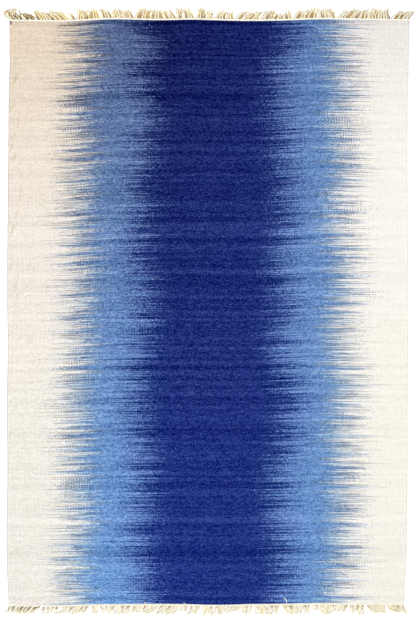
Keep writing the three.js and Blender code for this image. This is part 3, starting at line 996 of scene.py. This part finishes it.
class RUG_OT_weave_web(bpy.types.Operator):
    """Weave the web: a thin sheet on the frame's outline, with corded selvedges and soft ripples"""

    bl_idname = "rug.weave_web"
    bl_label = "Weave web"

    def execute(self, context):
        web = context.scene.rug_web
        plan = WebPlan()
        u, top, bottom = web_section(web.cord_radius, web.cell)
        v = np.linspace(0, 1, round(WEB_LENGTH / (0.54 * web.cell)) + 1)
        last_pick = np.array([0.35, 1.0, 2.2]) * MM / WEB_LENGTH
        v = np.concatenate([v[:1], last_pick, v[1:-1], 1 - last_pick[::-1], v[-1:]])
        rows = len(v)
        roundness = np.ones(rows)
        roundness[:4] = (0.45, 0.75, 0.93, 1)
        roundness[-4:] = roundness[3::-1]
        grid_u, grid_v = np.meshgrid(u, v)
        x, y = plan.flat(grid_u, grid_v)
        lift = plan.lifted(u, v) + ripple_lift(x, y)
        half = len(u)
        middle = lift + (top + bottom) / 2
        half_thickness = roundness[:, None] * (top - bottom) / 2
        upper = np.stack([x, y, middle + half_thickness], -1)
        lower = np.stack([x, y, middle - half_thickness], -1)[:, ::-1]
        rings = np.concatenate([upper, lower], 1)
        count = 2 * half
        faces = [(a, d, c, b) for a, b, c, d in tube_faces(0, rows, count)]
        end = (rows - 1) * count
        for j in range(half - 1):
            opposite = count - 1 - j
            faces.append((j, opposite, opposite - 1, j + 1))
            faces.append((end + j, end + j + 1, end + opposite - 1, end + opposite))
        mesh = bpy.data.meshes.new("woven_web")
        mesh.from_pydata(rings.reshape(-1, 3).tolist(), [], faces)
        across = (grid_u - 0.5) * WEB_WIDTH
        along = (grid_v - 0.5) * WEB_LENGTH - weft_rise(grid_u, grid_v)
        weave = np.stack([across, along], -1)
        weave = np.concatenate([weave, weave[:, ::-1]], 1).reshape(-1, 2)
        corners = np.zeros(len(mesh.loops), int)
        mesh.loops.foreach_get("vertex_index", corners)
        # Painted shade on the creases' flanks away from the lamp, which the weft's colour reads
        shade = painted_crease_shade(x, y)
        shade = np.concatenate([shade, shade[:, ::-1]], 1)
        mesh.attributes.new("crease_painted_shade", "FLOAT", "POINT").data.foreach_set("value", shade.ravel())
        layer = mesh.uv_layers.new(name="WeavePlace")
        layer.data.foreach_set("uv", weave[corners].astype(np.float32).ravel())
        finish_piece("woven_web", mesh, ikat_wool_weft(web), "ikat_weft", "rug_body")
        return {"FINISHED"}


class RUG_OT_twine_ends(bpy.types.Operator):
    """Twine a heading along each end of the web and twist its warp ends into a fringe"""

    bl_idname = "rug.twine_ends"
    bl_label = "Twine ends"

    def execute(self, context):
        fringe = context.scene.rug_fringe
        plan = WebPlan()
        cotton = cotton_warp_yarn(fringe)
        ends = (
            ("far", 1, FAR_TUFTS, FAR_TANGLE, [], FAR_SEED),
            ("near", -1, NEAR_TUFTS, NEAR_TANGLE, LOOSE_THREADS, NEAR_SEED),
        )
        for column, (name, end, tufts, tangle, threads, seed) in enumerate(ends):
            look = {key: pair[column] for key, pair in LOOKS.items()}
            yarn = YarnBuilder()
            twine_heading(yarn, plan, end, 0.15)
            twist_locks(yarn, plan, end, tufts, fringe, look, np.random.default_rng(seed))
            tangle_yarns(yarn, tangle)
            lay_threads(yarn, threads)
            mesh = yarn.mesh(name + "_fringe")
            piece = finish_piece(name + "_fringe", mesh, cotton, "warp_cotton", "fringe_" + name)
        return {"FINISHED"}


class RUG_OT_lay_stage(bpy.types.Operator):
    """Lay the pale floor, and set the soft light and the camera straight above"""

    bl_idname = "rug.lay_stage"
    bl_label = "Lay stage"

    def execute(self, context):
        stage = context.scene.rug_stage

        # Board with matt emulsion paint: an even white without sheen
        material, add = start_material("matt_floor")
        paint = {"Base Color": (*stage.floor_colour, 1), "Roughness": 1.0, "Specular IOR Level": 0.0}
        add("OutputMaterial", add("BsdfPrincipled", paint))
        mesh = bpy.data.meshes.new("floor")
        corners = [(x * FLOOR_REACH, y * FLOOR_REACH, 0) for x, y in ((-1, -1), (1, -1), (1, 1), (-1, 1))]
        mesh.from_pydata(corners, [], [(0, 1, 2, 3)])
        mesh.materials.append(material)
        floor = place_object("floor", mesh)
        floor.location.z = -FLOOR_DROP

        world = bpy.data.worlds.new("studio")
        world.use_nodes = True
        background = world.node_tree.nodes["Background"].inputs
        background["Color"].default_value = (1, 1, 1, 1)
        background["Strength"].default_value = stage.sky
        context.scene.world = world
        lamp_data = bpy.data.lights.new("soft_lamp", "SUN")
        lamp_data.energy = stage.lamp
        lamp_data.angle = math.radians(28)
        lamp = place_object("soft_lamp", lamp_data)
        lamp.rotation_euler = (math.radians(30), math.radians(22), 0)

        camera_data = bpy.data.cameras.new("camera")
        camera_data.lens = stage.lens
        camera = place_object("camera", camera_data)
        distance = stage.view_length * stage.lens / camera_data.sensor_width
        camera.location = (*VIEW_CENTRE, distance + CLOTH_THICKNESS)
        context.scene.camera = camera
        context.scene.view_settings.view_transform = "Standard"
        return {"FINISHED"}


class RUG_PT_panel(bpy.types.Panel):
    """The rug's sizes and colours, and the steps that make it"""

    bl_label = "Rug"
    bl_space_type = "VIEW_3D"
    bl_region_type = "UI"
    bl_category = "Rug"

    def draw(self, context):
        layout = self.layout
        for group in ("rug_web", "rug_fringe", "rug_stage"):
            box = layout.box()
            settings = getattr(context.scene, group)
            for name in settings.bl_rna.properties.keys():
                if name not in ("rna_type", "name"):
                    box.prop(settings, name)
        for operator in OPERATORS:
            layout.operator(operator.bl_idname)


SETTINGS = {"rug_web": RugWebSettings, "rug_fringe": RugFringeSettings, "rug_stage": RugStageSettings}
OPERATORS = (RUG_OT_lay_stage, RUG_OT_weave_web, RUG_OT_twine_ends)


def register():
    for name, settings in SETTINGS.items():
        bpy.utils.register_class(settings)
        setattr(bpy.types.Scene, name, PointerProperty(type=settings))
    for operator in OPERATORS:
        bpy.utils.register_class(operator)
    bpy.utils.register_class(RUG_PT_panel)


def unregister():
    bpy.utils.unregister_class(RUG_PT_panel)
    for operator in OPERATORS:
        bpy.utils.unregister_class(operator)
    for name, settings in SETTINGS.items():
        delattr(bpy.types.Scene, name)
        bpy.utils.unregister_class(settings)


def main():
    register()
    bpy.ops.rug.lay_stage()
    bpy.ops.rug.weave_web()
    bpy.ops.rug.twine_ends()


if __name__ == "__main__":
    main()
